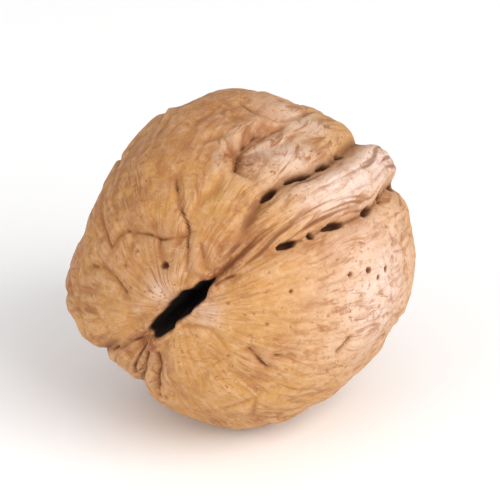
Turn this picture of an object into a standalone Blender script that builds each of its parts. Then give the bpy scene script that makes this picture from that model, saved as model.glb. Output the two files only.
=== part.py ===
"""A whole walnut in its shell, lying on its side as it settles on a table.

The nut is shaped in its own frame, in millimetres: X runs from crest to crest of the seam, Y from the stem
end to the tip, and Z from the lower half of the shell to the upper one. The shape is a rounded cube grid that
a few formulas swell and carve. The finished nut is rolled and tipped to its resting pose, and then it gets a
small flat spot.
"""

import math

import bmesh
import bpy
import numpy as np
from mathutils import Matrix, Vector, noise

MM = 0.001

# Body, without the seam band
SEAM_RADIUS = 16.7
UPPER_DEPTH = 18.2
LOWER_DEPTH = 15.9
STEM_LENGTH = 18.0
TIP_LENGTH = 19.8
STEM_FLATNESS = 0.05
TIP_TAPER = 0.08
TIP_HEIGHT = 1.3
TIP_SPREAD = 9.0

# Swellings and flats of the body: direction in the nut's frame, height and spread in degrees
LUMPS = (
    ((-0.27, -0.22, 0.94), -1.7, 28.0),
    ((-0.82, -0.46, 0.40), 1.5, 18.0),
    ((-0.87, -0.45, -0.15), -1.0, 18.0),
    ((-0.54, -0.22, -0.82), 0.4, 24.0),
    ((0.91, -0.27, 0.32), -0.5, 9.0),
    ((0.88, 0.46, 0.15), -0.7, 10.0),
    ((0.56, 0.36, -0.74), 0.6, 18.0),
)

# Seam band: degrees round the seam from the stem end, offset of its middle, half its width, and its height
BAND = (
    (-180.0, 0.0, 1.7, 0.8),
    (-140.0, 0.2, 2.3, 1.1),
    (-95.0, 0.3, 2.8, 0.9),
    (-62.0, 0.1, 2.6, 0.3),
    (-35.0, 0.0, 2.0, 0.1),
    (-15.0, -0.1, 1.2, 0.0),
    (10.0, -0.2, 1.0, 0.0),
    (24.0, -0.2, 1.0, 0.05),
    (33.0, -0.1, 1.4, 0.25),
    (41.0, 0.0, 2.2, 0.6),
    (50.0, -0.1, 2.9, 0.95),
    (58.0, -0.4, 3.0, 1.1),
    (68.0, -1.2, 3.0, 1.2),
    (84.0, -1.4, 3.0, 1.3),
    (100.0, -0.9, 2.8, 1.35),
    (118.0, -0.9, 2.7, 1.4),
    (150.0, 0.0, 2.2, 1.2),
)
GROOVE_DEPTH = 0.9
GROOVE_WIDTH = 0.5
LINE_DEPTH = 0.13
LINE_SPACING = 1.5
FURROW_DEPTH = 0.5
FURROW_WIDTH = 0.75
SLIT_DEPTH = 1.4
SHOULDER = 0.3

# Slits in the furrows, as spans in degrees round the seam from the stem end
UPPER_SLITS = ((46, 54), (57, 68), (71, 78), (84, 88), (110, 124), (-64, -48), (-121, -109))
LOWER_SLITS = ((40, 47), (51, 53), (57, 66), (76, 83), (88, 93), (108, 122), (-95, -82), (-140, -126))

# Opening at the stem end
OPENING_MIDDLE = 0.1
OPENING_HALF_LENGTH = 4.8
OPENING_HALF_WIDTH = 1.1
OPENING_DEPTH = 4.5

# Crescent-shaped fold: the points that its foot runs through, and a place on its sunken side
FOLD = ((11.6, -10.7, 7.0), (12.2, -8.8, 8.4), (12.8, -7.2, 9.0), (13.5, -5.0, 9.3), (14.0, -2.9, 9.3))
FOLD_SIDE = (14.8, -6.5, 6.0)
FOLD_DEPTH = 0.8
FOLD_REACH = 3.2
FOLD_EDGE = 0.4

# Creases at the stem end: depth, width and the points that each runs through
CREASES = (
    (0.60, 0.55, FOLD[:4]),
    (0.65, 0.75, ((7.0, -12.6, 10.3), (6.5, -14.1, 8.2), (5.9, -15.5, 5.4), (4.9, -16.2, 3.5))),
    (0.50, 0.70, ((4.9, -16.2, 3.5), (3.4, -16.7, 2.0))),
    (0.50, 0.70, ((5.4, -15.8, 4.9), (3.2, -16.0, 6.1), (2.6, -15.9, 6.8), (2.9, -15.4, 7.8))),
    (0.50, 0.70, ((-2.9, -12.2, 12.2), (-2.6, -14.6, 9.4), (0.0, -14.8, 9.5), (2.9, -15.9, 6.6))),
    (0.50, 0.70, ((2.9, -15.9, 6.6), (2.0, -16.7, 3.9))),
    (0.50, 0.70, ((-6.7, -13.1, 9.5), (-4.8, -14.6, 8.4), (-4.0, -15.6, 6.6), (-3.5, -16.3, 4.7))),
    (0.45, 0.60, ((6.2, -15.9, 3.0), (5.2, -16.4, 1.3))),
    (0.60, 0.55, ((-6.2, -16.0, 0.4), (-8.4, -14.8, 0.9), (-11.4, -12.6, 1.7))),
    (0.60, 0.55, ((-6.0, -16.1, -0.4), (-7.9, -15.3, -0.7), (-10.2, -13.8, -1.2), (-12.2, -12.0, -1.6))),
    (0.55, 0.50, ((-6.4, -16.0, -1.2), (-8.6, -14.8, -2.0), (-10.7, -13.0, -2.3), (-12.4, -11.2, -2.9))),
    (0.55, 0.55, ((-5.4, -16.2, -2.0), (-6.8, -15.5, -3.2), (-10.1, -13.0, -4.3), (-12.0, -10.8, -5.1))),
    (0.50, 0.60, ((4.7, -16.5, -0.9), (6.7, -15.9, -1.3))),
    (0.55, 0.75, ((2.0, -15.0, -7.9), (1.6, -13.5, -10.2))),
    (0.50, 0.75, ((3.1, -13.5, -9.8), (3.7, -12.4, -10.9))),
    (0.50, 0.75, ((5.7, -7.6, -13.3), (7.1, -6.5, -13.2))),
)

# Raised rims, one beside the fold and one beside the opening
RIMS = (
    (0.35, 0.90, ((12.6, -5.6, 10.2), (11.8, -7.8, 9.8), (11.0, -9.9, 9.1), (10.4, -11.3, 7.8))),
    (0.18, 0.70, ((-3.5, -16.5, 2.3), (0.5, -17.0, 2.4), (4.0, -16.4, 2.0))),
)
CURVE_RADIUS = 17.5
CURVE_WANDER = 0.25

# Net of shallow furrows over both halves, fainter round one place on the lower half, and slow swells all over
NET_CELL = (6.0, 10.5, 6.0)
NET_WARP = 0.5
NET_DEPTH = 0.52
NET_LINE = 0.32
CALM_PLACE = (0.40, -0.70, -0.58)
CALM_SPREAD = 54.0
CALM_SHARE = 0.88
SWELL = 0.4
SWELL_CELL = 6.5

# Resting pose in degrees and the flat spot
ROLL = 49.0
TIP_DOWN = 10.0
FLAT_DEPTH = 0.55

NOISE_SEED = 4
DIVISIONS = 31
SEAM_CROWDING = 0.25
BAND_SQUASH = 0.75
SHELL_COLOUR = (0.62, 0.37, 0.19, 1.0)
SHELL_ROUGHNESS = 0.6


def ramp(value, low, high):
    """0 below low and 1 above high, with an S-shaped rise between them."""
    share = np.clip((value - low) / (high - low), 0.0, 1.0)
    return share * share * (3.0 - 2.0 * share)


def bell(distance, width):
    """1 at no distance, falling to nothing in about two widths."""
    return np.exp(-((distance / width) ** 2))


def sampled(points, function):
    """The value of a noise function at each point."""
    return np.array([function(Vector(point)) for point in points])


def unit(vectors):
    return vectors / np.linalg.norm(vectors, axis=-1, keepdims=True)


def cube_grid():
    """A cube whose faces are even grids of quads."""
    grid = bmesh.new()
    bmesh.ops.create_cube(grid, size=2.0)
    bmesh.ops.subdivide_edges(grid, edges=grid.edges[:], cuts=DIVISIONS - 1, use_grid_fill=True)
    return grid


def directions_of(grid):
    """A direction from the nut's middle for each grid point, with the rows beside the seam drawn together."""
    cube = np.array([vertex.co for vertex in grid.verts])
    cube[:, 2] = cube[:, 2] * (1.0 - SEAM_CROWDING + SEAM_CROWDING * cube[:, 2] ** 2)
    return unit(np.tan(cube * math.pi / 4) * (1.0, 1.0, BAND_SQUASH))


def body_points(directions):
    """The smooth body: unequal halves, a flattened stem end, a tapered tip and a few swellings."""
    along = directions[:, 1]
    toward_tip = np.clip(along, 0.0, 1.0)
    toward_stem = np.clip(-along, 0.0, 1.0)
    girth = 1.0 - TIP_TAPER * toward_tip**2.5
    depth = np.where(directions[:, 2] > 0.0, UPPER_DEPTH, LOWER_DEPTH)
    length = np.where(along > 0.0, TIP_LENGTH, STEM_LENGTH * (1.0 - STEM_FLATNESS * toward_stem**4))
    from_tip = np.degrees(np.arccos(np.clip(along, -1.0, 1.0)))
    points = np.stack(
        [
            SEAM_RADIUS * girth * directions[:, 0],
            length * along + TIP_HEIGHT * bell(from_tip, TIP_SPREAD),
            depth * girth * directions[:, 2],
        ],
        axis=1,
    )
    for centre, height, spread in LUMPS:
        angle = np.degrees(np.arccos(np.clip(directions @ unit(np.array(centre)), -1.0, 1.0)))
        points += directions * (height * bell(angle, spread))[:, None]
    return points


def outward(points):
    """Outward normals of the smooth body."""
    radii = np.array([SEAM_RADIUS, (STEM_LENGTH + TIP_LENGTH) / 2, (UPPER_DEPTH + LOWER_DEPTH) / 2])
    return unit(points / radii**2)


def band_at(points):
    """Angle round the seam, distance from the band's middle, half its width and its height, at each point."""
    turn = np.degrees(np.arctan2(points[:, 0], -points[:, 1]))
    rows = np.array(BAND)
    lap = np.array([360.0, 0.0, 0.0, 0.0])
    rows = np.concatenate([rows[-2:] - lap, rows, rows[:2] + lap])
    angles, values = rows[:, 0], rows[:, 1:]
    slopes = np.gradient(values, angles, axis=0)
    before = np.searchsorted(angles, turn, side="right") - 1
    span = (angles[before + 1] - angles[before])[:, None]
    share = (turn - angles[before])[:, None] / span
    rise = share * share * (3.0 - 2.0 * share)
    curve = values[before] * (1.0 - rise) + values[before + 1] * rise
    curve += slopes[before] * span * share * (1.0 - share) ** 2
    curve -= slopes[before + 1] * span * share**2 * (1.0 - share)
    middle, half_width, height = curve.T
    return turn, points[:, 2] - middle, half_width, height


def slit_share(turn, spans):
    """1 inside a slit's span and 0 outside it."""
    inside = np.zeros_like(turn)
    for start, end in spans:
        middle, half = (start + end) / 2, (end - start) / 2
        inside = np.maximum(inside, 1.0 - ramp(np.abs(turn - middle), 0.6 * half, 1.2 * half))
    return inside


def seam_relief(points):
    """Height of the raised band, its middle groove and fine lines, and its furrows and slits."""
    turn, offset, half_width, height = band_at(points)
    across = np.abs(offset) / half_width
    top = 1.0 - ramp(across, 0.2, 1.2)
    relief = height * top
    near_stem = 1.0 - ramp(np.where(turn > 0.0, turn, -1.6 * turn), 24.0, 54.0)
    relief -= GROOVE_DEPTH * (0.25 + 0.75 * near_stem) * bell(offset, GROOVE_WIDTH)
    lines = 1.0 - np.cos(2 * math.pi * offset / LINE_SPACING)
    relief -= LINE_DEPTH * lines * top * ramp(np.abs(turn), 30.0, 45.0)
    slits = np.where(offset > 0.0, slit_share(turn, UPPER_SLITS), slit_share(turn, LOWER_SLITS))
    from_furrow = np.abs(offset) - half_width
    furrow = FURROW_DEPTH * ramp(np.abs(turn), 24.0, 38.0)
    relief -= (furrow + (SLIT_DEPTH - furrow) * slits) * bell(from_furrow, FURROW_WIDTH)
    return relief + SHOULDER * bell(from_furrow - 2.2, 1.6)


def opening_relief(points):
    """Depth of the spindle-shaped opening where the stem was attached."""
    offset = band_at(points)[1]
    along = (points[:, 0] - OPENING_MIDDLE) / OPENING_HALF_LENGTH
    edge = np.abs(offset) - OPENING_HALF_WIDTH * (1.0 - along**4)
    depth = OPENING_DEPTH * (1.0 - 0.6 * along**2) * (1.0 - ramp(edge, -0.45, 0.45))
    return np.where(points[:, 1] < 0.0, -depth, 0.0)


def wandering(points):
    """Each point's place on a sphere, off by a little so that no curve drawn there looks too even."""
    return unit(points) * CURVE_RADIUS + CURVE_WANDER * sampled(points * 0.4, noise.noise_vector)


def way_to_curve(places, stops):
    """The way from each place to the nearest point of the curve through the stops."""
    stops = unit(np.array(stops)) * CURVE_RADIUS
    ways = np.full((len(places), 3), np.inf)
    for start, end in zip(stops, stops[1:]):
        run = end - start
        share = np.clip((places - start) @ run / (run @ run), 0.0, 1.0)
        way = start + share[:, None] * run - places
        closer = (way**2).sum(axis=1) < (ways**2).sum(axis=1)
        ways[closer] = way[closer]
    return ways


def along_curves(points, curves):
    """The most that any curve raises or sinks each point."""
    places = wandering(points)
    most = np.zeros(len(points))
    for height, width, stops in curves:
        distance = np.linalg.norm(way_to_curve(places, stops), axis=1)
        most = np.maximum(most, height * bell(distance, width))
    return most


def fold_relief(points):
    """The shell drops sharply at the fold and rises slowly again on its sunken side."""
    places = wandering(points)
    ways = way_to_curve(places, FOLD)
    distance = np.linalg.norm(ways, axis=1)
    inward = unit(unit(np.array(FOLD_SIDE)) * CURVE_RADIUS - places - ways)
    sunken = ramp(-(ways * inward).sum(axis=1) / np.maximum(distance, 1e-6), -0.3, 0.6)
    return -FOLD_DEPTH * bell(distance, FOLD_EDGE + (FOLD_REACH - FOLD_EDGE) * sunken)


def net_relief(points):
    """Shallow branching furrows that leave raised islands between them."""
    cells = points / np.array(NET_CELL)
    warped = cells + NET_WARP * sampled(cells * 1.3, noise.noise_vector)
    nearest = np.array([noise.voronoi(Vector(cell))[0][:2] for cell in warped])
    line = 1.0 - ramp(nearest[:, 1] - nearest[:, 0], 0.0, NET_LINE)
    strength = ramp(sampled(cells * 0.8 + 7.0, noise.noise), -0.4, 0.25)
    from_calm = np.degrees(np.arccos(np.clip(unit(points) @ unit(np.array(CALM_PLACE)), -1.0, 1.0)))
    strength *= 1.0 - CALM_SHARE * bell(from_calm, CALM_SPREAD)
    return -NET_DEPTH * strength * line


def shell_points(directions):
    """The nut's surface in its own frame, in millimetres."""
    noise.seed_set(NOISE_SEED)
    body = body_points(directions)
    _, offset, half_width, _ = band_at(body)
    on_cheek = ramp(np.abs(offset) / half_width, 1.1, 1.7)
    relief = SWELL * sampled(body / SWELL_CELL, noise.noise)
    relief += seam_relief(body) + opening_relief(body) + on_cheek * net_relief(body)
    relief += along_curves(body, RIMS) - along_curves(body, CREASES) + fold_relief(body)
    return body + outward(body) * relief[:, None]


def resting_pose():
    """The nut is rolled so that the seam climbs at an angle, then its tip is lowered."""
    tip = Matrix.Rotation(math.radians(-TIP_DOWN), 4, "X")
    return tip @ Matrix.Rotation(math.radians(-ROLL), 4, "Y")


def rest_on_flat(nut):
    """Presses the lowest points flat at Z 0 and puts the middle of the nut's box above the origin."""
    places = np.array([vertex.co for vertex in nut.verts])
    lows, highs = places.min(axis=0), places.max(axis=0)
    middle = (lows + highs) / 2
    bmesh.ops.translate(nut, verts=nut.verts[:], vec=(-middle[0], -middle[1], -lows[2] - FLAT_DEPTH * MM))
    for vertex in nut.verts:
        vertex.co.z = max(vertex.co.z, 0.0)


def shell_material():
    material = bpy.data.materials.new("walnut_shell")
    material.use_nodes = True
    shader = material.node_tree.nodes["Principled BSDF"]
    shader.inputs["Base Color"].default_value = SHELL_COLOUR
    shader.inputs["Roughness"].default_value = SHELL_ROUGHNESS
    shader.inputs["Metallic"].default_value = 0.0
    return material


def make_walnut(collection):
    """The nut as one closed solid at its resting pose."""
    nut = cube_grid()
    for vertex, place in zip(nut.verts, shell_points(directions_of(nut))):
        vertex.co = Vector(place) * MM
    bmesh.ops.transform(nut, matrix=resting_pose(), verts=nut.verts[:])
    rest_on_flat(nut)
    mesh = bpy.data.meshes.new("walnut")
    nut.to_mesh(mesh)
    nut.free()
    mesh.shade_smooth()
    mesh.materials.append(shell_material())
    walnut = bpy.data.objects.new("walnut", mesh)
    collection.objects.link(walnut)
    return walnut


def main():
    for leftover in list(bpy.data.objects):
        bpy.data.objects.remove(leftover, do_unlink=True)
    collection = bpy.data.collections.new("walnut")
    bpy.context.scene.collection.children.link(collection)
    make_walnut(collection)


main()
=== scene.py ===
"""A whole walnut on a pale floor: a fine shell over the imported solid, its material, lights and a camera.

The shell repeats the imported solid's formulas on a finer grid, in the nut's own frame and in millimetres.
There, X runs from crest to crest of the seam, Y from the stem end to the tip, and Z from the lower half of
the shell to the upper one. To the formulas it adds what the solid is too coarse for: cracks, pits, fine
wrinkles and the fibres of the seam band.
"""

import math

import bmesh
import bpy
import numpy as np
from mathutils import Matrix, Vector, noise


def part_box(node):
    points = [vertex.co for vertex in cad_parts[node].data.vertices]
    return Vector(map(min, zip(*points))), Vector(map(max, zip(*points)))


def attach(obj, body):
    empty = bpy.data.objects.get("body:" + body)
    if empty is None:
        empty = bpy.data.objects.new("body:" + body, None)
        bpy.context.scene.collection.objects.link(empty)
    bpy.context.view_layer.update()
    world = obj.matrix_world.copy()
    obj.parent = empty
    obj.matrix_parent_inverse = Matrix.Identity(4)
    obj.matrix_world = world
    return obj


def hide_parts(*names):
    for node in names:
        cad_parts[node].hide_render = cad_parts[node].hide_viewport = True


MM = 0.001

# Added where a sum would otherwise divide by zero
TINY = 1e-6

# Body, without the seam band
SEAM_RADIUS = 16.7
UPPER_DEPTH = 18.2
LOWER_DEPTH = 15.9
STEM_LENGTH = 18.0
TIP_LENGTH = 19.8
STEM_FLATNESS = 0.05
TIP_TAPER = 0.08
TIP_HEIGHT = 1.3
TIP_SPREAD = 9.0

# Swellings and flats of the body: direction in the nut's frame, height and spread in degrees
LUMPS = (
    ((-0.27, -0.22, 0.94), -1.7, 28.0),
    ((-0.82, -0.46, 0.40), 1.5, 18.0),
    ((-0.87, -0.45, -0.15), -1.0, 18.0),
    ((-0.54, -0.22, -0.82), 0.4, 24.0),
    ((0.91, -0.27, 0.32), -0.5, 9.0),
    ((0.88, 0.46, 0.15), -0.7, 10.0),
    ((0.56, 0.36, -0.74), 0.6, 18.0),
)

# Seam band: degrees round the seam from the stem end, offset of its middle, half its width, and its height
BAND = (
    (-180.0, 0.0, 1.7, 0.8),
    (-140.0, 0.2, 2.3, 1.1),
    (-95.0, 0.3, 2.8, 0.9),
    (-62.0, 0.1, 2.6, 0.3),
    (-35.0, 0.0, 2.0, 0.1),
    (-15.0, -0.1, 1.2, 0.0),
    (10.0, -0.2, 1.0, 0.0),
    (24.0, -0.2, 1.0, 0.05),
    (33.0, -0.1, 1.4, 0.25),
    (41.0, 0.0, 2.2, 0.6),
    (50.0, -0.1, 2.9, 0.95),
    (58.0, -0.4, 3.0, 1.1),
    (68.0, -1.2, 3.0, 1.2),
    (84.0, -1.4, 3.0, 1.3),
    (100.0, -0.9, 2.8, 1.35),
    (118.0, -0.9, 2.7, 1.4),
    (150.0, 0.0, 2.2, 1.2),
)

# Groove along the middle of the seam: the share of its depth that it keeps away from the stem end, how much
# sooner it fades on the -X side, and the thin crack in it, whose middle is in degrees from the stem end
GROOVE_DEPTH = 0.9
GROOVE_WIDTH = 0.4
GROOVE_REST = 0.2
GROOVE_HASTE = 1.6
GROOVE_CRACK_WIDTH = 0.20
GROOVE_CRACK_MIDDLE = 20.0

# Lines of the band and its fibres. A fibre bends aside by so many of its widths, over a length of one cell
LINE_DEPTH = 0.10
LINE_SPACING = 1.5
FIBRE_DEPTH = 0.14
FIBRE_LENGTH = 8.0
FIBRE_WIDTH = 0.5
FIBRE_BEND = 1.5
FIBRE_BEND_CELL = 4.0
FIBRE_SLICE = 2.37

# Furrows beside the band, the dark thread along their bottoms, their slits, and the shoulders outside them
FURROW_DEPTH = 0.5
FURROW_WIDTH = 0.75
THREAD_WIDTH = 0.28
SLIT_DEPTH = 1.4
SLIT_WIDTH = 0.38
SHOULDER = 0.3
SHOULDER_PLACE = 2.2
SHOULDER_WIDTH = 1.6

# Slits in the furrows, as spans in degrees round the seam from the stem end
UPPER_SLITS = ((46, 54), (57, 68), (71, 78), (84, 88), (110, 124), (-64, -48), (-121, -109))
LOWER_SLITS = ((40, 47), (51, 53), (57, 66), (76, 83), (88, 93), (108, 122), (-95, -82), (-140, -126))

# Where things on the seam come in or fade out, in degrees from the stem end, or from the crack's middle
FIBRES_START = (14.0, 30.0)
FURROWS_START = (24.0, 38.0)
LINES_START = (30.0, 45.0)
THREADS_START = (34.0, 44.0)
PALENESS_STARTS = (38.0, 70.0)
GROOVE_FADES = (24.0, 54.0)
GROOVE_CRACK_FADES = (8.0, 24.0)
STAIN_FADES = (22.0, 52.0)
DARK_LINES_FADE = (70.0, 125.0)
PALENESS_FADES = (105.0, 150.0)

# Opening at the stem end, and the scallops of its edge
OPENING_MIDDLE = 0.1
OPENING_HALF_LENGTH = 4.8
OPENING_HALF_WIDTH = 0.90
OPENING_DEPTH = 4.5
SCALLOP = 0.42
SCALLOP_CELL = 1.3

# Crescent-shaped fold: the points that its foot runs through, and a place on its sunken side
FOLD = ((11.6, -10.7, 7.0), (12.2, -8.8, 8.4), (12.8, -7.2, 9.0), (13.5, -5.0, 9.3), (14.0, -2.9, 9.3))
FOLD_SIDE = (14.8, -6.5, 6.0)
FOLD_DEPTH = 0.8
FOLD_REACH = 3.2
FOLD_EDGE = 0.4

# Creases at the stem end: depth, width and the points that each runs through
CREASES = (
    (0.60, 0.55, FOLD[:4]),
    (0.55, 0.65, ((7.0, -12.6, 10.3), (6.5, -14.1, 8.2), (5.9, -15.5, 5.4), (4.9, -16.2, 3.5))),
    (0.50, 0.70, ((4.9, -16.2, 3.5), (3.4, -16.7, 2.0))),
    (0.50, 0.70, ((5.4, -15.8, 4.9), (3.2, -16.0, 6.1), (2.6, -15.9, 6.8), (2.9, -15.4, 7.8))),
    (0.50, 0.70, ((-2.9, -12.2, 12.2), (-2.6, -14.6, 9.4), (0.0, -14.8, 9.5), (2.9, -15.9, 6.6))),
    (0.50, 0.70, ((2.9, -15.9, 6.6), (2.0, -16.7, 3.9))),
    (0.50, 0.70, ((-6.7, -13.1, 9.5), (-4.8, -14.6, 8.4), (-4.0, -15.6, 6.6), (-3.5, -16.3, 4.7))),
    (0.45, 0.60, ((6.2, -15.9, 3.0), (5.2, -16.4, 1.3))),
    (0.60, 0.55, ((-6.2, -16.0, 0.4), (-8.4, -14.8, 0.9), (-11.4, -12.6, 1.7))),
    (0.60, 0.55, ((-6.0, -16.1, -0.4), (-7.9, -15.3, -0.7), (-10.2, -13.8, -1.2), (-12.2, -12.0, -1.6))),
    (0.55, 0.50, ((-6.4, -16.0, -1.2), (-8.6, -14.8, -2.0), (-10.7, -13.0, -2.3), (-12.4, -11.2, -2.9))),
    (0.55, 0.55, ((-5.4, -16.2, -2.0), (-6.8, -15.5, -3.2), (-10.1, -13.0, -4.3), (-12.0, -10.8, -5.1))),
    (0.50, 0.60, ((4.7, -16.5, -0.9), (6.7, -15.9, -1.3))),
    (0.55, 0.75, ((2.0, -15.0, -7.9), (1.6, -13.5, -10.2))),
    (0.50, 0.75, ((3.1, -13.5, -9.8), (3.7, -12.4, -10.9))),
    (0.50, 0.75, ((5.7, -7.6, -13.3), (7.1, -6.5, -13.2))),
)

# Raised rims, one beside the fold and one beside the opening
RIMS = (
    (0.35, 0.90, ((12.6, -5.6, 10.2), (11.8, -7.8, 9.8), (11.0, -9.9, 9.1), (10.4, -11.3, 7.8))),
    (0.18, 0.70, ((-3.5, -16.5, 2.3), (0.5, -17.0, 2.4), (4.0, -16.4, 2.0))),
)

# The fold, the creases and the rims are drawn on one sphere, and wander a little. The crack along a crease
# takes this share of its depth
CURVE_RADIUS = 17.5
CURVE_WANDER = 0.25
CRACK_WIDTH = 0.24
CRACK_SHARE = 0.5

# Single pits: place and radius
PITS = (
    ((12.9, -2.3, -9.9), 0.50),
    ((12.4, -3.6, -10.2), 0.40),
    ((12.8, -5.1, -9.2), 0.55),
    ((12.3, -7.6, -8.5), 0.40),
    ((2.0, -16.7, 3.9), 0.50),
    ((9.1, -13.6, -6.0), 0.35),
)
PIT_DEPTH = 0.35

# Net of shallow furrows over both halves, fainter round one place on the lower half, and its broken cracks
NET_CELL = (6.0, 10.5, 6.0)
NET_WARP = 0.5
NET_DEPTH = 0.52
NET_LINE = 0.32
NET_CRACK_CELL = 2.2
NET_CRACK_DEPTH = 0.15
NET_CRACK_LINE = 0.05
CALM_PLACE = (0.40, -0.70, -0.58)
CALM_SPREAD = 54.0
CALM_SHARE = 0.88

# Slow swells and short ripples all over the shell
SWELL = 0.4
SWELL_CELL = 6.5
RIPPLE = 0.13
RIPPLE_CELL = 2.4

# Strokes from the stem end to the tip, thin wrinkles and small dimples, and how much of them the band shows
STROKE_DEPTH = 0.07
STROKE_LENGTH = 2.8
STROKE_CROWDING = 24.0
STROKE_BEND = 1.6
STROKE_BEND_CELL = 4.0
WRINKLE_DEPTH = 0.06
WRINKLE_CELL = (1.3, 2.8, 1.3)
WRINKLE_BEND = 1.1
WRINKLE_LEVEL = 0.12
WRINKLE_LINE = 0.12
WRINKLE_PATCH = 4.0
DIMPLE_DEPTH = 0.16
DIMPLE_CELL = 1.4
DIMPLE_RARITY = 0.6
BAND_FINENESS = 0.35

# Ragged edges: reach and cell of the two noises that move them, and how strongly each edge follows
JAG_REACH = 0.16
JAG_CELL = 0.9
FINE_JAG_REACH = 0.10
FINE_JAG_CELL = 0.4
GROOVE_JAG = 0.6
FURROW_JAG = 0.5
SLIT_END_JAG = 6.0
SLIT_WIDTH_JAG = 1.2
OPENING_JAG = 0.6
CREASE_JAG = 0.4
PIT_JAG = 1.4

# Resting pose in degrees and the flat spot
ROLL = 49.0
TIP_DOWN = 10.0
FLAT_DEPTH = 0.55

NOISE_SEED = 4
DIVISIONS = 128
SEAM_CROWDING = 0.25
BAND_SQUASH = 0.75

# How dark things on the shell are, where about 1 is the full colour of a furrow
GROOVE_CRACK_DARK = 0.60
LINE_DARK = 0.42
FIBRE_GAP_DARK = 0.55
# The upper furrow is darker than the lower one partly as painted shade
UPPER_FURROW_DARK_AND_SHADE = 0.48
LOWER_FURROW_DARK = 0.26
THREAD_DARK = 0.60
# Broad painted shade along each crease, beside its crack
CREASE_PAINTED_SHADE = 0.18
CREASE_CRACK_DARK = 1.35
NET_CRACK_DARK = 0.60
WRINKLE_DARK = 0.20
DIMPLE_DARK = 0.50
PIT_DARK = 0.85

# Brown stain along the seam at the stem end, and how much of its paleness the band loses towards the tip
STAIN = 0.8
STAIN_WIDTH = 1.6
PALENESS_LOSS = 0.45

# Paler, browner and more ochre areas of the shell: a place, how far round it in degrees, and how strong.
# The paler areas are partly the shell's own tone and partly a painted highlight on the side that faces the
# key light. The brown areas are partly stains at the stem end and partly painted shade over the upper half
# and along the fold
PALE_AND_HIGHLIT_AREAS = (
    ((11.5, -3.0, -11.5), 28.0, 0.90),
    ((15.0, -6.5, 5.5), 15.0, 0.75),
    ((14.8, 0.5, 8.6), 12.0, 0.50),
    ((15.8, -0.5, 6.2), 9.0, 0.65),
    ((0.0, -16.8, 2.3), 5.0, 0.60),
    ((2.3, -16.6, -2.3), 5.0, 0.65),
    ((-4.0, 14.0, 9.0), 30.0, 0.45),
    ((-9.0, 3.0, -12.0), 28.0, 0.40),
)
BROWN_AND_SHADED_AREAS = (
    ((-5.4, -16.4, -0.6), 5.5, 1.2),
    ((12.8, -9.6, 6.6), 7.0, 0.75),
    ((11.9, -9.6, 8.0), 5.0, 0.90),
    ((13.6, -5.2, 8.9), 5.0, 0.60),
    ((10.6, -13.4, 2.9), 5.0, 0.7),
    ((0.5, -11.0, 13.5), 28.0, 0.50),
    ((11.0, -3.0, 13.2), 16.0, 0.45),
    ((-9.0, -9.0, 12.0), 30.0, 0.30),
)
OCHRE_AREAS = (
    ((1.0, -14.0, -9.0), 48.0, 0.8),
    ((-9.0, -14.0, 4.0), 20.0, 0.7),
)

# Colours of the shell, in linear light
TAN = (0.48, 0.226, 0.070, 1.0)
OCHRE = (0.51, 0.262, 0.072, 1.0)
BROWN_TAN = (0.33, 0.130, 0.044, 1.0)
PALE_TAN = (0.67, 0.450, 0.300, 1.0)
CREAM = (0.71, 0.545, 0.470, 1.0)
RUST = (0.26, 0.085, 0.030, 1.0)
FURROW_BROWN = (0.105, 0.036, 0.014, 1.0)
# Near-black of the deep opening: partly its dark inside, partly painted shade
HOLE_BROWN_AND_SHADE = (0.010, 0.005, 0.003, 1.0)

# Surface of the shell. A full crest is what stands PROUD_HEIGHT above its smoothed surroundings. Crests get
# a painted highlight and hollows painted shade
SHELL_SPECULAR = 0.25
BUMP_STRENGTH = 0.6
BUMP_HEIGHT = 0.22
PROUD_HEIGHT = 0.05
SMOOTHING_ROUNDS = 14

# Floor, half its side in metres
FLOOR_REACH = 3.0
FLOOR_TONES = ((0.93, 0.93, 0.93, 1.0), (0.97, 0.97, 0.97, 1.0))
FLOOR_ROUGHNESS = 0.7

# Lights: azimuth and elevation in degrees, distance and size in metres, power in watts, and colour
LIGHTS = {
    "key_light": (74.0, 33.0, 0.5, 0.45, 2.5, (1.0, 0.985, 0.96)),
    "fill_light": (-30.0, 10.0, 0.6, 0.5, 1.8, (1.0, 0.99, 0.97)),
}
STUDIO_COLOUR = (0.97, 0.97, 0.98, 1.0)
STUDIO_STRENGTH = 0.70

# Camera, seen from the middle of the nut
CAMERA_AZIMUTH = 24.0
CAMERA_ELEVATION = 27.0
CAMERA_DISTANCE = 0.45
CAMERA_LENS = 318.0
CAMERA_CLIP = (0.01, 10.0)


def ramp(value, low, high):
    """0 below low and 1 above high, with an S-shaped rise between them."""
    share = np.clip((value - low) / (high - low), 0.0, 1.0)
    return share * share * (3.0 - 2.0 * share)


def bell(distance, width):
    """1 at no distance, falling to nothing in about two widths."""
    return np.exp(-((distance / width) ** 2))


def sampled(points, function):
    """The value of a noise function at each point."""
    return np.array([function(Vector(point)) for point in points])


def smooth_noise(points, shift=0.0):
    """Noise from about -1 to 1 that changes over one unit. Each shift gives another pattern."""
    return sampled(points + shift, noise.noise)


def unit(vectors):
    """The same directions at length 1."""
    return vectors / np.linalg.norm(vectors, axis=-1, keepdims=True)


def degrees_from(place, directions):
    """Angle of each direction from the way to the place."""
    return np.degrees(np.arccos(np.clip(directions @ unit(np.array(place)), -1.0, 1.0)))


def cube_mesh(name):
    """A mesh of a cube whose faces are even grids of quads."""
    grid = bmesh.new()
    bmesh.ops.create_cube(grid, size=2.0)
    bmesh.ops.subdivide_edges(grid, edges=grid.edges[:], cuts=DIVISIONS - 1, use_grid_fill=True)
    mesh = bpy.data.meshes.new(name)
    grid.to_mesh(mesh)
    grid.free()
    return mesh


def places_of(mesh):
    """The places of the mesh's vertices, one in each row."""
    places = np.empty(len(mesh.vertices) * 3, np.float32)
    mesh.vertices.foreach_get("co", places)
    return places.reshape(-1, 3).astype(float)


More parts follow.
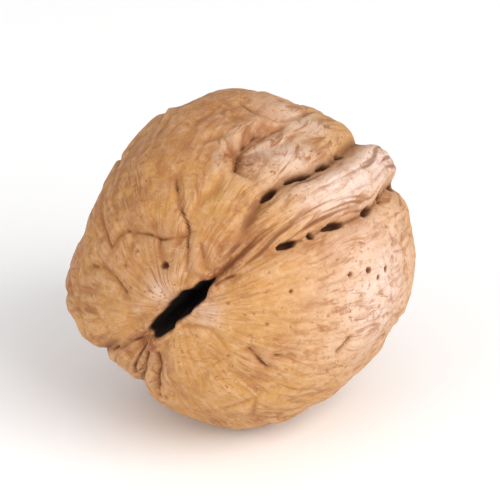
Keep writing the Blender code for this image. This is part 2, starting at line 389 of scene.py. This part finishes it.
def directions_of(cube):
    """A direction from the nut's middle for each grid point, with rows drawn together beside the seam."""
    cube[:, 2] = cube[:, 2] * (1.0 - SEAM_CROWDING + SEAM_CROWDING * cube[:, 2] ** 2)
    return unit(np.tan(cube * math.pi / 4) * (1.0, 1.0, BAND_SQUASH))


def body_points(directions):
    """The smooth body: unequal halves, a flattened stem end, a tapered tip and a few swellings."""
    along = directions[:, 1]
    toward_tip = np.clip(along, 0.0, 1.0)
    toward_stem = np.clip(-along, 0.0, 1.0)
    girth = 1.0 - TIP_TAPER * toward_tip**2.5
    depth = np.where(directions[:, 2] > 0.0, UPPER_DEPTH, LOWER_DEPTH)
    length = np.where(along > 0.0, TIP_LENGTH, STEM_LENGTH * (1.0 - STEM_FLATNESS * toward_stem**4))
    from_tip = np.degrees(np.arccos(np.clip(along, -1.0, 1.0)))
    points = np.stack(
        [
            SEAM_RADIUS * girth * directions[:, 0],
            length * along + TIP_HEIGHT * bell(from_tip, TIP_SPREAD),
            depth * girth * directions[:, 2],
        ],
        axis=1,
    )
    for centre, height, spread in LUMPS:
        points += directions * (height * bell(degrees_from(centre, directions), spread))[:, None]
    return points


def outward(points):
    """Outward normals of the smooth body."""
    radii = np.array([SEAM_RADIUS, (STEM_LENGTH + TIP_LENGTH) / 2, (UPPER_DEPTH + LOWER_DEPTH) / 2])
    return unit(points / radii**2)


def band_at(points):
    """At each point: angle round the seam, distance from the band's middle, half its width, its height."""
    turn = np.degrees(np.arctan2(points[:, 0], -points[:, 1]))
    rows = np.array(BAND)
    lap = np.array([360.0, 0.0, 0.0, 0.0])
    rows = np.concatenate([rows[-2:] - lap, rows, rows[:2] + lap])
    angles, values = rows[:, 0], rows[:, 1:]
    slopes = np.gradient(values, angles, axis=0)
    before = np.searchsorted(angles, turn, side="right") - 1
    span = (angles[before + 1] - angles[before])[:, None]
    share = (turn - angles[before])[:, None] / span
    rise = share * share * (3.0 - 2.0 * share)
    curve = values[before] * (1.0 - rise) + values[before + 1] * rise
    curve += slopes[before] * span * share * (1.0 - share) ** 2
    curve -= slopes[before + 1] * span * share**2 * (1.0 - share)
    middle, half_width, height = curve.T
    return turn, points[:, 2] - middle, half_width, height


def wandering(points):
    """Each point's place on a sphere, off by a little so that no curve drawn there looks too even."""
    return unit(points) * CURVE_RADIUS + CURVE_WANDER * sampled(points * 0.4, noise.noise_vector)


def way_to_curve(places, stops):
    """The way from each place to the nearest point of the curve through the stops."""
    stops = unit(np.array(stops)) * CURVE_RADIUS
    ways = np.full((len(places), 3), np.inf)
    for start, end in zip(stops, stops[1:]):
        run = end - start
        share = np.clip((places - start) @ run / (run @ run), 0.0, 1.0)
        way = start + share[:, None] * run - places
        closer = (way**2).sum(axis=1) < (ways**2).sum(axis=1)
        ways[closer] = way[closer]
    return ways


def distance_to_curve(places, stops):
    return np.linalg.norm(way_to_curve(places, stops), axis=1)


def ragged_noise(points):
    """Fine noise in millimetres, which makes the edges of cracks, slits and pits ragged."""
    fine = FINE_JAG_REACH * smooth_noise(points / FINE_JAG_CELL, shift=4.0)
    return JAG_REACH * smooth_noise(points / JAG_CELL) + fine


def fibre_noise(points, turn, offset):
    """Noise drawn out along the seam, high on the band's fibres and low between them."""
    along = np.radians(turn) * CURVE_RADIUS / FIBRE_LENGTH
    across = offset / FIBRE_WIDTH + FIBRE_BEND * smooth_noise(points / FIBRE_BEND_CELL, shift=9.0)
    lanes = np.stack([along, across, np.full_like(turn, FIBRE_SLICE)], axis=1)
    return 0.75 * smooth_noise(lanes) + 0.45 * smooth_noise(lanes * 2.2, shift=5.0)


def band_relief(points, jag):
    """Height of the band with its groove, lines and fibres, how dark they are, and how pale the band is,
    partly as a painted highlight.
    """
    turn, offset, half_width, height = band_at(points)
    from_stem = np.abs(turn)
    across = np.abs(offset) / half_width
    top = 1.0 - ramp(across, 0.2, 1.2)
    near_stem = 1.0 - ramp(np.where(turn > 0.0, turn, -GROOVE_HASTE * turn), *GROOVE_FADES)
    groove = bell(offset + GROOVE_JAG * jag, GROOVE_WIDTH)
    groove *= GROOVE_REST + (1.0 - GROOVE_REST) * near_stem
    wave = np.cos(2 * math.pi * offset / LINE_SPACING)
    lines = top * ramp(from_stem, *LINES_START) * (1.0 - wave)
    fibre = fibre_noise(points, turn, offset)
    fibred = (1.0 - ramp(across, 0.9, 1.2)) * ramp(from_stem, *FIBRES_START)
    relief = height * top - GROOVE_DEPTH * groove - LINE_DEPTH * lines + FIBRE_DEPTH * fibred * fibre

    # The band's paleness is partly its own tone and partly a painted highlight
    pale = top * ramp(from_stem, *PALENESS_STARTS)
    crack = bell(offset + GROOVE_JAG * jag, GROOVE_CRACK_WIDTH)
    crack *= 1.0 - ramp(np.abs(turn - GROOVE_CRACK_MIDDLE), *GROOVE_CRACK_FADES)
    line = top * (1.0 - ramp(from_stem, *DARK_LINES_FADE)) * ramp(wave, -0.3, -1.0)
    line *= 0.4 + 0.6 * ramp(-fibre, -0.2, 0.3)
    gap = fibred * ramp(-fibre, 0.08, 0.40) * (1.0 - 0.15 * pale)
    dark = np.maximum.reduce([GROOVE_CRACK_DARK * crack, LINE_DARK * line, FIBRE_GAP_DARK * gap])
    return relief, dark, pale


def span_share(turn, spans):
    """1 at the middle of a span, falling to 0 just outside its ends."""
    inside = np.zeros_like(turn)
    for start, end in spans:
        middle, half = (start + end) / 2, (end - start) / 2
        inside = np.maximum(inside, 1.0 - ramp(np.abs(turn - middle), 0.3 * half, 1.2 * half))
    return inside


def slit_shares(turn, offset, from_thread, jag):
    """How deep each point lies in one of the slits, and how dark it is there."""
    ragged = turn + SLIT_END_JAG * jag
    along = np.where(offset > 0.0, span_share(ragged, UPPER_SLITS), span_share(ragged, LOWER_SLITS))
    width = SLIT_WIDTH * (0.3 + 0.9 * along) * (1.0 + SLIT_WIDTH_JAG * jag)
    aside = np.abs(from_thread)
    deep = ramp(along, 0.05, 0.5) * (1.0 - ramp(aside, 0.3 * width, width))
    dark = ramp(along, 0.05, 0.3) * (1.0 - ramp(aside, 0.55 * width, 1.05 * width))
    return deep, dark


def furrow_relief(points, jag):
    """Height of the furrows beside the band, with their slits and shoulders, and how dark they are, the
    upper one partly with painted shade.
    """
    turn, offset, half_width, _ = band_at(points)
    from_stem = np.abs(turn)
    from_furrow = np.abs(offset) - half_width
    furrow = ramp(from_stem, *FURROWS_START) * bell(from_furrow, FURROW_WIDTH)
    from_thread = from_furrow + FURROW_JAG * jag
    slit, slit_dark = slit_shares(turn, offset, from_thread, jag)
    shoulder = bell(from_furrow - SHOULDER_PLACE, SHOULDER_WIDTH)
    relief = SHOULDER * shoulder - FURROW_DEPTH * furrow - SLIT_DEPTH * slit
    thread = bell(from_thread, THREAD_WIDTH) * ramp(from_stem, *THREADS_START)
    thread *= ramp(jag, -0.22, 0.0)
    # The upper furrow is darker partly as painted shade
    furrow_dark = np.where(offset > 0.0, UPPER_FURROW_DARK_AND_SHADE, LOWER_FURROW_DARK)
    return relief, np.maximum.reduce([slit_dark, furrow_dark * furrow, THREAD_DARK * thread])


def opening_shares(points, jag):
    """How deep each point lies in the spindle-shaped opening at the stem end, and how black it is there,
    partly the dark inside and partly painted shade.
    """
    offset = band_at(points)[1]
    along = (points[:, 0] - OPENING_MIDDLE) / OPENING_HALF_LENGTH
    tapered = np.where(along > 0.0, np.abs(along) ** 3, along**6)
    scallop = SCALLOP * smooth_noise(points / SCALLOP_CELL, shift=6.0)
    edge = np.abs(offset) - OPENING_HALF_WIDTH * (1.0 - tapered) + scallop + OPENING_JAG * jag
    deep = (1.0 - 0.6 * along**2) * (1.0 - ramp(edge, -0.45, 0.3))
    black = 1.0 - ramp(edge, -0.15, 0.3)
    at_stem = points[:, 1] < 0.0
    return np.where(at_stem, deep, 0.0), np.where(at_stem, black, 0.0)


def fold_relief(places):
    """The shell drops sharply at the fold and rises slowly again on its sunken side."""
    ways = way_to_curve(places, FOLD)
    distance = np.linalg.norm(ways, axis=1)
    inward = unit(unit(np.array(FOLD_SIDE)) * CURVE_RADIUS - places - ways)
    sunken = ramp(-(ways * inward).sum(axis=1) / np.maximum(distance, TINY), -0.3, 0.6)
    return -FOLD_DEPTH * bell(distance, FOLD_EDGE + (FOLD_REACH - FOLD_EDGE) * sunken)


def rim_relief(places):
    """Height of the rims, and how pale they are."""
    raised = np.zeros(len(places))
    pale = np.zeros(len(places))
    for height, width, stops in RIMS:
        distance = distance_to_curve(places, stops)
        raised = np.maximum(raised, height * bell(distance, width))
        pale = np.maximum(pale, height * bell(distance, 0.7 * width))
    return raised, pale


def crease_relief(places, jag):
    """Depth of the creases with the crack along each, how dark the cracks are, and the painted shade along
    each crease.
    """
    sunk = np.zeros(len(places))
    dark = np.zeros(len(places))
    for depth, width, stops in CREASES:
        distance = distance_to_curve(places, stops)
        crack = 1.0 - ramp(distance + CREASE_JAG * jag, 0.0, CRACK_WIDTH)
        sunk = np.maximum(sunk, depth * ((1.0 - CRACK_SHARE) * bell(distance, width) + CRACK_SHARE * crack))
        shade = CREASE_PAINTED_SHADE * bell(distance, 0.8 * width)
        dark = np.maximum.reduce([dark, CREASE_CRACK_DARK * depth * crack, shade])
    return sunk, dark


def net_relief(points):
    """Height of the shallow branching furrows between raised islands, and how dark their few cracks are."""
    cells = points / np.array(NET_CELL)
    warped = cells + NET_WARP * sampled(cells * 1.3, noise.noise_vector)
    nearest = np.array([noise.voronoi(Vector(cell))[0][:2] for cell in warped])
    between = nearest[:, 1] - nearest[:, 0]
    strength = ramp(smooth_noise(cells * 0.8, shift=7.0), -0.4, 0.25)
    strength *= 1.0 - CALM_SHARE * bell(degrees_from(CALM_PLACE, unit(points)), CALM_SPREAD)
    furrow = strength * (1.0 - ramp(between, 0.0, NET_LINE))
    broken = ramp(smooth_noise(points / NET_CRACK_CELL, shift=3.0), 0.05, 0.3)
    crack = strength * broken * (1.0 - ramp(between, 0.0, NET_CRACK_LINE))
    return -NET_DEPTH * furrow - NET_CRACK_DEPTH * crack, NET_CRACK_DARK * crack


def fine_relief(points):
    """Height of ripples, thin meandering wrinkles and dimples, and how dark the last two are."""
    cells = points / np.array(WRINKLE_CELL)
    bent = cells + WRINKLE_BEND * sampled(cells * 0.7 + 11.0, noise.noise_vector)
    strength = ramp(smooth_noise(points / WRINKLE_PATCH, shift=5.0), -0.1, 0.4)
    vein = strength * (1.0 - ramp(np.abs(smooth_noise(bent) - WRINKLE_LEVEL), 0.0, WRINKLE_LINE))
    found = [noise.voronoi(Vector(point)) for point in points / DIMPLE_CELL]
    distance = np.array([distances[0] for distances, _ in found])
    chosen = np.array([noise.cell(centres[0] * 9.0) for _, centres in found]) > DIMPLE_RARITY
    dimple = chosen * (1.0 - ramp(distance, 0.04, 0.22))
    ripple = smooth_noise(points / RIPPLE_CELL, shift=2.0)
    relief = RIPPLE * ripple - WRINKLE_DEPTH * vein - DIMPLE_DEPTH * dimple
    return relief, np.maximum(WRINKLE_DARK * vein, DIMPLE_DARK * dimple)


def pit_share(points, jag):
    """How deep each point lies in one of the single pits."""
    share = np.zeros(len(points))
    for place, radius in PITS:
        centre = unit(np.array(place)) * CURVE_RADIUS
        distance = np.linalg.norm(unit(points) * CURVE_RADIUS - centre, axis=1) + PIT_JAG * jag
        share = np.maximum(share, 1.0 - ramp(distance, 0.2 * radius, radius))
    return share


def area_share(points, areas):
    """How strongly each point belongs to one of the areas."""
    most = np.zeros(len(points))
    for place, spread, share in areas:
        most = np.maximum(most, share * bell(degrees_from(place, unit(points)), spread))
    return most


def stroke_lanes(points):
    """Coordinates in which any noise draws strokes that run from the stem end to the tip."""
    girth = unit(points[:, [0, 2]] + TINY) * STROKE_CROWDING
    along = np.arccos(np.clip(unit(points)[:, 1], -1.0, 1.0)) * CURVE_RADIUS / STROKE_LENGTH
    bend = STROKE_BEND * smooth_noise(points / STROKE_BEND_CELL, shift=8.0)
    return np.stack([girth[:, 0] + bend, girth[:, 1] - bend, along], axis=1)


def shell_surface(directions):
    """The nut's surface in its own frame, the lanes of its strokes, and the marks for its material."""
    noise.seed_set(NOISE_SEED)
    body = body_points(directions)
    places = wandering(body)
    jag = ragged_noise(body)
    turn, offset, half_width, _ = band_at(body)
    on_cheek = ramp(np.abs(offset) / half_width, 1.1, 1.7)
    band, band_dark, band_pale = band_relief(body, jag)
    furrows, furrow_dark = furrow_relief(body, jag)
    rims, rim_pale = rim_relief(places)
    creases, crease_dark = crease_relief(places, jag)
    net, net_dark = net_relief(body)
    fine, fine_dark = fine_relief(body)
    deep, black = opening_shares(body, jag)
    pits = pit_share(body, jag)
    lanes = stroke_lanes(body)
    relief = SWELL * smooth_noise(body / SWELL_CELL) + fold_relief(places) + band + furrows + rims
    relief -= creases + PIT_DEPTH * pits + OPENING_DEPTH * deep
    relief += (BAND_FINENESS + (1.0 - BAND_FINENESS) * on_cheek) * fine
    relief += on_cheek * (net + STROKE_DEPTH * smooth_noise(lanes))

    cheek_dark = on_cheek * np.maximum(net_dark, fine_dark)
    dark = np.maximum.reduce([band_dark, furrow_dark, crease_dark, cheek_dark, PIT_DARK * np.sqrt(pits)])
    stain_and_shade = STAIN * bell(offset, STAIN_WIDTH) * (1.0 - ramp(np.abs(turn), *STAIN_FADES))
    band_pale *= 1.0 - PALENESS_LOSS * ramp(np.abs(turn), *PALENESS_FADES)
    marks = {
        "dark": dark,
        "hole": black,
        # Pale: partly the shell's own tone, partly a painted highlight on the band and the side that faces
        # the key light
        "pale": np.maximum.reduce([band_pale, rim_pale, area_share(body, PALE_AND_HIGHLIT_AREAS)]),
        # Brown stains along the seam and at the stem end, and painted shade over the upper half and along
        # the fold
        "stain_and_shade": np.maximum(stain_and_shade, area_share(body, BROWN_AND_SHADED_AREAS)),
        "ochre": area_share(body, OCHRE_AREAS),
    }
    return body + outward(body) * relief[:, None], lanes, marks


def rested(points):
    """The surface at its resting pose: rolled, its tip lowered, its lowest points pressed flat at Z 0."""
    pose = Matrix.Rotation(math.radians(-TIP_DOWN), 3, "X") @ Matrix.Rotation(math.radians(-ROLL), 3, "Y")
    turned = points @ np.array(pose).T
    lows, highs = turned.min(axis=0), turned.max(axis=0)
    middle = (lows + highs) / 2
    turned -= (middle[0], middle[1], lows[2] + FLAT_DEPTH)
    turned[:, 2] = np.maximum(turned[:, 2], 0.0)
    return turned


def standing_proud(mesh, places):
    """How far each vertex stands above its surroundings, from 1 on a crest to -1 in a hollow."""
    edges = np.empty(len(mesh.edges) * 2, np.int32)
    mesh.edges.foreach_get("vertices", edges)
    first, second = edges.reshape(-1, 2).T
    count = np.bincount(first, minlength=len(places)) + np.bincount(second, minlength=len(places))
    smooth = places.copy()
    for _ in range(SMOOTHING_ROUNDS):
        total = np.zeros_like(smooth)
        np.add.at(total, first, smooth[second])
        np.add.at(total, second, smooth[first])
        smooth = 0.5 * smooth + 0.5 * total / count[:, None]
    outwards = unit(places - places.mean(axis=0))
    return np.clip(((places - smooth) * outwards).sum(axis=1) / PROUD_HEIGHT, -1.0, 1.0)


def add_mark(mesh, name, values):
    """Stores one number for each vertex, for the material to read."""
    mesh.attributes.new(name, "FLOAT", "POINT").data.foreach_set("value", values.astype(np.float32))


def add_vectors(mesh, name, vectors):
    """Stores one vector for each vertex, for the material to read."""
    stored = mesh.attributes.new(name, "FLOAT_VECTOR", "POINT")
    stored.data.foreach_set("vector", vectors.astype(np.float32).ravel())


def make_walnut():
    """The fine shell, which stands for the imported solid."""
    mesh = cube_mesh("walnut_shell")
    own, lanes, marks = shell_surface(directions_of(places_of(mesh)))
    places = rested(own)
    mesh.vertices.foreach_set("co", (places * MM).astype(np.float32).ravel())
    for name, values in marks.items():
        add_mark(mesh, name, values)
    # Painted highlight on crests and painted shade in hollows, by how far each vertex stands above its
    # surroundings
    add_mark(mesh, "crest_highlight_hollow_shade", standing_proud(mesh, places))
    add_vectors(mesh, "own_place", own)
    add_vectors(mesh, "lane", lanes)
    mesh.update()
    mesh.shade_smooth()
    mesh.materials.append(shell_material())
    walnut = bpy.data.objects.new("walnut_shell", mesh)
    bpy.context.scene.collection.objects.link(walnut)
    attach(walnut, "root")
    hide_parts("walnut")


class Wiring:
    """Adds shader nodes to one material and joins them. An input is a socket, a number or a colour."""

    def __init__(self, material):
        material.use_nodes = True
        self.tree = material.node_tree
        self.tree.nodes.clear()

    def add(self, kind, inputs=(), **settings):
        """A new node with its settings and inputs."""
        node = self.tree.nodes.new(kind)
        for name, value in settings.items():
            setattr(node, name, value)
        for name, value in dict(inputs).items():
            if isinstance(value, bpy.types.NodeSocket):
                self.tree.links.new(value, node.inputs[name])
            else:
                node.inputs[name].default_value = value
        return node

    def mark(self, name):
        """A number that the mesh holds for each vertex."""
        return self.add("ShaderNodeAttribute", attribute_name=name).outputs["Fac"]

    def vector(self, name):
        """A vector that the mesh holds for each vertex."""
        return self.add("ShaderNodeAttribute", attribute_name=name).outputs["Vector"]

    def scaled(self, vector, scale):
        return self.add("ShaderNodeMapping", {"Vector": vector, "Scale": scale}).outputs["Vector"]

    def clouds(self, vector, scale, detail=4.0, roughness=0.55, distortion=0.0):
        """Noise between 0 and 1, with about scale lumps to one unit of the vector."""
        inputs = {
            "Vector": vector,
            "Scale": scale,
            "Detail": detail,
            "Roughness": roughness,
            "Distortion": distortion,
        }
        return self.add("ShaderNodeTexNoise", inputs).outputs["Fac"]

    def rise(self, value, low, high, least=0.0, most=1.0):
        """From least, where the value is low, to most, where it is high."""
        inputs = {"Value": value, "From Min": low, "From Max": high, "To Min": least, "To Max": most}
        return self.add("ShaderNodeMapRange", inputs, interpolation_type="SMOOTHSTEP").outputs["Result"]

    def maths(self, operation, first, second):
        return self.add("ShaderNodeMath", {0: first, 1: second}, operation=operation).outputs["Value"]

    def mix(self, share, first, second):
        inputs = {"Fac": share, "Color1": first, "Color2": second}
        return self.add("ShaderNodeMixRGB", inputs).outputs["Color"]


def shell_colour(wiring, own, lane, strokes, dark, hole):
    """Tan with ochre and brown clouds, a paler band, brown cracks and specks, and a near-black opening,
    with painted highlight on crests and on the side that faces the key light, and painted shade in hollows,
    creases, the upper furrow, the opening, over the upper half and along the fold.
    """
    pale, stain_and_shade, ochre, crest_highlight_hollow_shade = (wiring.mark(name) for name in ("pale", "stain_and_shade", "ochre", "crest_highlight_hollow_shade"))
    ochre_cloud = wiring.rise(wiring.clouds(own, scale=0.11, detail=3.0), 0.38, 0.62)
    brown_cloud = wiring.clouds(own, scale=0.17, detail=5.0)
    patchy = wiring.rise(wiring.clouds(own, scale=0.45, detail=5.0, roughness=0.6), 0.25, 0.65, 0.55, 1.1)
    grain = wiring.clouds(own, scale=0.95, detail=6.0, roughness=0.72, distortion=0.6)
    stretched = wiring.scaled(lane, (1.0, 1.0, 0.8))
    hatch = wiring.clouds(stretched, scale=0.75, detail=5.0, roughness=0.68, distortion=0.8)
    hatched = wiring.rise(wiring.clouds(own, scale=0.13, detail=2.0), 0.36, 0.62, 0.30, 0.95)
    uneven = wiring.rise(wiring.clouds(own, scale=0.9, detail=4.0, roughness=0.65), 0.38, 0.62, 0.15, 1.30)
    speck = wiring.rise(wiring.clouds(own, scale=1.7, detail=3.0, roughness=0.7), 0.59, 0.67)
    speckled = wiring.rise(wiring.clouds(own, scale=0.20, detail=2.0), 0.42, 0.60, 0.10, 0.75)
    layers = (
        (wiring.maths("MAXIMUM", ochre, ochre_cloud), OCHRE),
        (wiring.rise(brown_cloud, 0.50, 0.72, most=0.6), BROWN_TAN),
        # Cream where the shell is pale, partly a painted highlight
        (wiring.maths("MULTIPLY", pale, patchy), CREAM),
        (wiring.rise(strokes, 0.53, 0.76, most=0.22), PALE_TAN),
        (wiring.rise(strokes, 0.48, 0.26, most=0.60), BROWN_TAN),
        (wiring.rise(grain, 0.50, 0.70, most=0.42), PALE_TAN),
        (wiring.rise(grain, 0.48, 0.30, most=0.55), BROWN_TAN),
        # Painted highlight on crests and painted shade in hollows
        (wiring.rise(crest_highlight_hollow_shade, 0.0, 0.9, most=0.22), PALE_TAN),
        (wiring.rise(crest_highlight_hollow_shade, -0.05, -0.9, most=0.50), BROWN_TAN),
        (wiring.maths("MULTIPLY", wiring.rise(hatch, 0.49, 0.64), hatched), BROWN_TAN),
        # Rust-brown stains, and painted shade over the upper half and along the fold
        (wiring.maths("MULTIPLY", stain_and_shade, uneven), RUST),
        (wiring.maths("MULTIPLY", speck, speckled), RUST),
        # Dark marks: cracks, slits and lines, and painted shade along the creases and in the upper furrow
        (wiring.rise(dark, 0.0, 0.45, most=0.55), BROWN_TAN),
        (wiring.rise(dark, 0.15, 0.85), FURROW_BROWN),
        # Near-black opening, partly painted shade
        (wiring.rise(hole, 0.10, 0.55), HOLE_BROWN_AND_SHADE),
    )
    colour = TAN
    for share, layer in layers:
        colour = wiring.mix(share, colour, layer)
    return colour


def shell_roughness(wiring, own, dark, hole):
    """Matt all over, and more so in the cracks and the opening."""
    rough = wiring.rise(wiring.clouds(own, scale=0.8), 0.3, 0.7, 0.52, 0.72)
    rough = wiring.maths("MAXIMUM", rough, wiring.rise(dark, 0.1, 0.8, 0.5, 0.9))
    return wiring.maths("MAXIMUM", rough, hole)


def shell_bump(wiring, own, strokes):
    """Coarse and fine grit, and the strokes, as bump."""
    coarse = wiring.clouds(own, scale=1.4, detail=6.0, roughness=0.65)
    fine = wiring.clouds(own, scale=5.0, detail=4.0, roughness=0.6)
    height = wiring.maths("ADD", coarse, wiring.maths("MULTIPLY", fine, 0.35))
    height = wiring.maths("ADD", height, wiring.maths("MULTIPLY", strokes, 0.4))
    inputs = {"Height": height, "Strength": BUMP_STRENGTH, "Distance": BUMP_HEIGHT * MM}
    return wiring.add("ShaderNodeBump", inputs).outputs["Normal"]


def shell_material():
    """Dry walnut shell, drawn in the nut's own frame and along its strokes."""
    material = bpy.data.materials.new("walnut_shell_surface")
    wiring = Wiring(material)
    own = wiring.vector("own_place")
    lane = wiring.vector("lane")
    dark = wiring.mark("dark")
    hole = wiring.mark("hole")
    strokes = wiring.clouds(lane, scale=1.0, detail=6.0, roughness=0.66)
    inputs = {
        "Base Color": shell_colour(wiring, own, lane, strokes, dark, hole),
        "Roughness": shell_roughness(wiring, own, dark, hole),
        "Normal": shell_bump(wiring, own, strokes),
        "Specular IOR Level": SHELL_SPECULAR,
        "Metallic": 0.0,
    }
    shader = wiring.add("ShaderNodeBsdfPrincipled", inputs)
    wiring.add("ShaderNodeOutputMaterial", {"Surface": shader.outputs["BSDF"]})
    return material


def floor_material():
    """Pale, with a faint unevenness of tone."""
    material = bpy.data.materials.new("pale_floor")
    wiring = Wiring(material)
    place = wiring.add("ShaderNodeTexCoord").outputs["Object"]
    tone = wiring.rise(wiring.clouds(place, scale=8.0, detail=2.0), 0.3, 0.7)
    inputs = {"Base Color": wiring.mix(tone, *FLOOR_TONES), "Roughness": FLOOR_ROUGHNESS}
    shader = wiring.add("ShaderNodeBsdfPrincipled", inputs)
    wiring.add("ShaderNodeOutputMaterial", {"Surface": shader.outputs["BSDF"]})
    return material


def make_floor():
    """A wide level floor at Z 0."""
    mesh = bpy.data.meshes.new("floor")
    sheet = bmesh.new()
    bmesh.ops.create_grid(sheet, x_segments=1, y_segments=1, size=FLOOR_REACH)
    sheet.to_mesh(mesh)
    sheet.free()
    mesh.materials.append(floor_material())
    floor = bpy.data.objects.new("floor", mesh)
    bpy.context.scene.collection.objects.link(floor)


def seen_from(middle, azimuth, elevation, distance):
    """A point round the nut's middle. Azimuth 0 is on the -Y side and 90 on the +X side."""
    round_by, up_by = math.radians(azimuth), math.radians(elevation)
    level = math.cos(up_by)
    towards = Vector((math.sin(round_by) * level, -math.cos(round_by) * level, math.sin(up_by)))
    return Vector(middle) + towards * distance


def facing(place, target):
    """The turn that points a light or a camera at place to the target."""
    return (Vector(target) - place).to_track_quat("-Z", "Y").to_euler()


def make_lights(middle):
    """Two soft square lights that face the nut, and an even pale studio round it."""
    for name, (azimuth, elevation, distance, size, power, colour) in LIGHTS.items():
        light = bpy.data.lights.new(name, "AREA")
        light.size = size
        light.energy = power
        light.color = colour
        lamp = bpy.data.objects.new(name, light)
        lamp.location = seen_from(middle, azimuth, elevation, distance)
        lamp.rotation_euler = facing(lamp.location, middle)
        bpy.context.scene.collection.objects.link(lamp)
    world = bpy.data.worlds.new("studio")
    world.use_nodes = True
    background = world.node_tree.nodes["Background"]
    background.inputs["Color"].default_value = STUDIO_COLOUR
    background.inputs["Strength"].default_value = STUDIO_STRENGTH
    bpy.context.scene.world = world
    bpy.context.scene.view_settings.view_transform = "Standard"


def make_camera(middle):
    """A long lens at the photograph's viewing angle."""
    lens = bpy.data.cameras.new("camera")
    lens.lens = CAMERA_LENS
    lens.clip_start, lens.clip_end = CAMERA_CLIP
    camera = bpy.data.objects.new("camera", lens)
    camera.location = seen_from(middle, CAMERA_AZIMUTH, CAMERA_ELEVATION, CAMERA_DISTANCE)
    camera.rotation_euler = facing(camera.location, middle)
    bpy.context.scene.collection.objects.link(camera)
    bpy.context.scene.camera = camera


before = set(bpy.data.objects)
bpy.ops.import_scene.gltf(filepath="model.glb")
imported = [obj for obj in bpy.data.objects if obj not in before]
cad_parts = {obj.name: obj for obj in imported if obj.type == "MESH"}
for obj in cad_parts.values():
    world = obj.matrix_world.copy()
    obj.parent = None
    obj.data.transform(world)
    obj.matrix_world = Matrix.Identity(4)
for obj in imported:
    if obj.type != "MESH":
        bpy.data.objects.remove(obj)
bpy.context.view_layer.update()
low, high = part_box("walnut")
nut_middle = (low + high) / 2
make_walnut()
make_floor()
make_lights(nut_middle)
make_camera(nut_middle)
